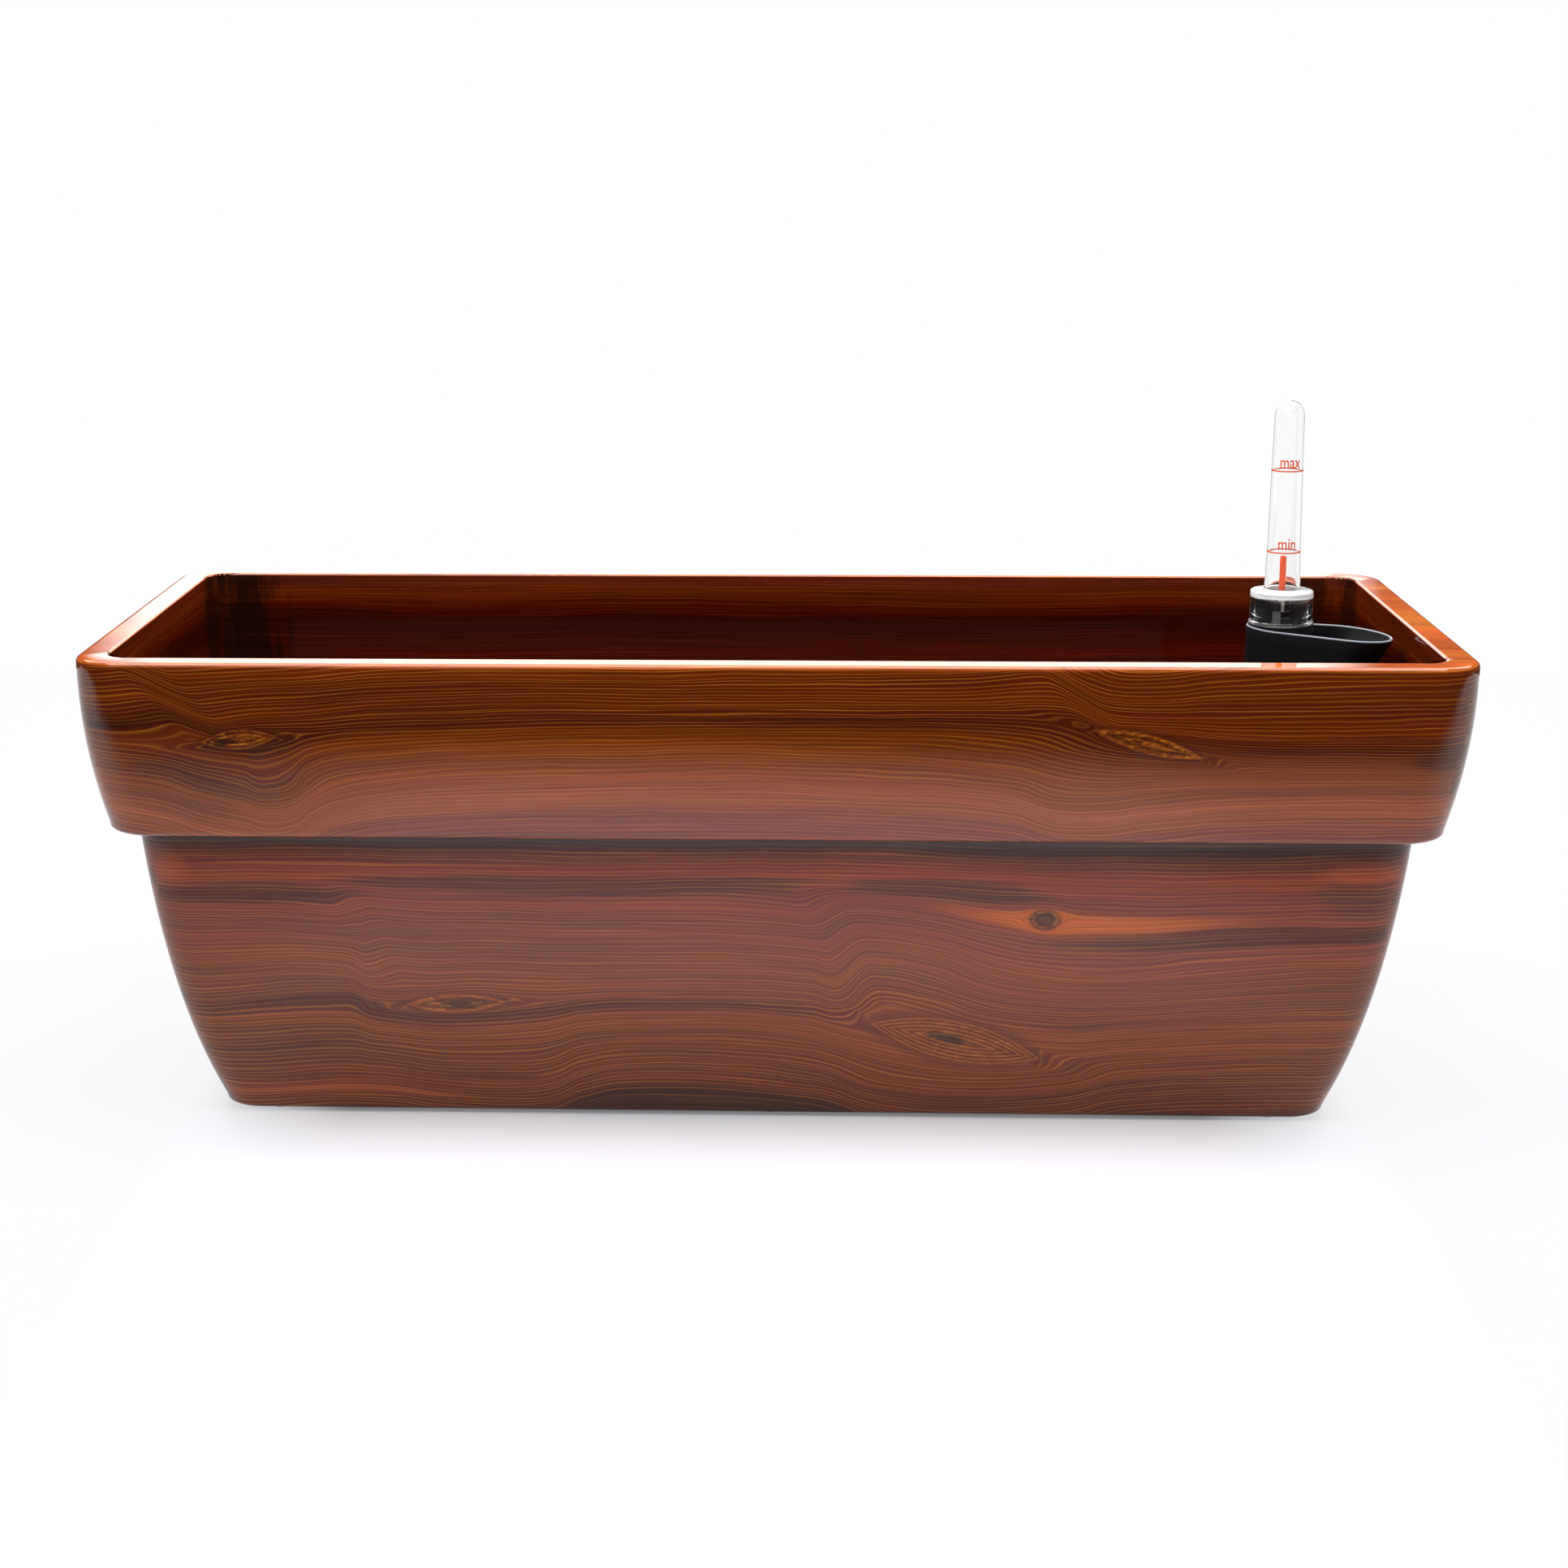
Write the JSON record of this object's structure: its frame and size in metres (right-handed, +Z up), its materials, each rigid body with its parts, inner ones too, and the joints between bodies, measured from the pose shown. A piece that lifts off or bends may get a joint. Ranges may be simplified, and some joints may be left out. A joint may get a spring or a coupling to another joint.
{
  "type": "self watering planter",
  "caption": "Rectangular banded trough planter with a reservoir, perforated separator on legs, wick baskets, filler spout and float gauge under a clear cap.",
  "frame": {"origin": "middle of the footprint, on the ground", "axes": "+X along the length towards the filler spout, +Y across to the back, +Z up"},
  "size_m": [0.8, 0.34, 0.4245],
  "materials": {
    "wood_lacquer": "clear lacquer over a printed wood grain",
    "black_plastic": "fine moulded grain",
    "rubber": "matt",
    "grey_plastic": "moulded satin",
    "white_plastic": "satin",
    "orange_plastic": "glossy",
    "float_foam": "closed cell foam",
    "clear_plastic": "clear polished"
  },
  "bodies": {
    "shell": {"planter_shell": "wood_lacquer", "drain_bush": "black_plastic", "foot_left_front": "rubber", "foot_left_back": "rubber", "foot_middle_front": "rubber", "foot_middle_back": "rubber", "foot_right_front": "rubber", "foot_right_back": "rubber"},
    "drain": {"drain_plug": "rubber"},
    "separator": {"separator_plate": "grey_plastic", "wick_basket_1": "grey_plastic", "wick_basket_2": "grey_plastic", "wick_basket_3": "grey_plastic", "wick_basket_4": "grey_plastic", "support_leg_1": "grey_plastic", "support_leg_2": "grey_plastic", "support_leg_3": "grey_plastic", "support_leg_4": "grey_plastic", "support_leg_5": "grey_plastic", "support_leg_6": "grey_plastic", "support_leg_7": "grey_plastic", "support_leg_8": "grey_plastic"},
    "spout": {"filler_spout": "black_plastic", "float_cage": "grey_plastic", "rod_guide": "black_plastic"},
    "gauge": {"gauge_cap": "clear_plastic"},
    "float": {"float": "float_foam", "float_rod": "white_plastic", "rod_tip": "orange_plastic"}
  },
  "joints": [
    {"name": "separator_lift", "type": "slide", "parent": "shell", "child": "separator", "axis": [0, 0, 1], "range_m": [0, 0.3]},
    {"name": "spout_lift", "type": "slide", "parent": "separator", "child": "spout", "axis": [0, 0, 1], "range_m": [0, 0.25]},
    {"name": "gauge_lift", "type": "slide", "parent": "spout", "child": "gauge", "axis": [0, 0, 1], "range_m": [0, 0.14]},
    {"name": "float_rise", "type": "slide", "parent": "spout", "child": "float", "axis": [0, 0, 1], "range_m": [0, 0.05]},
    {"name": "drain_pull", "type": "slide", "parent": "shell", "child": "drain", "axis": [0, 0, 1], "range_m": [0, 0.04]}
  ]
}
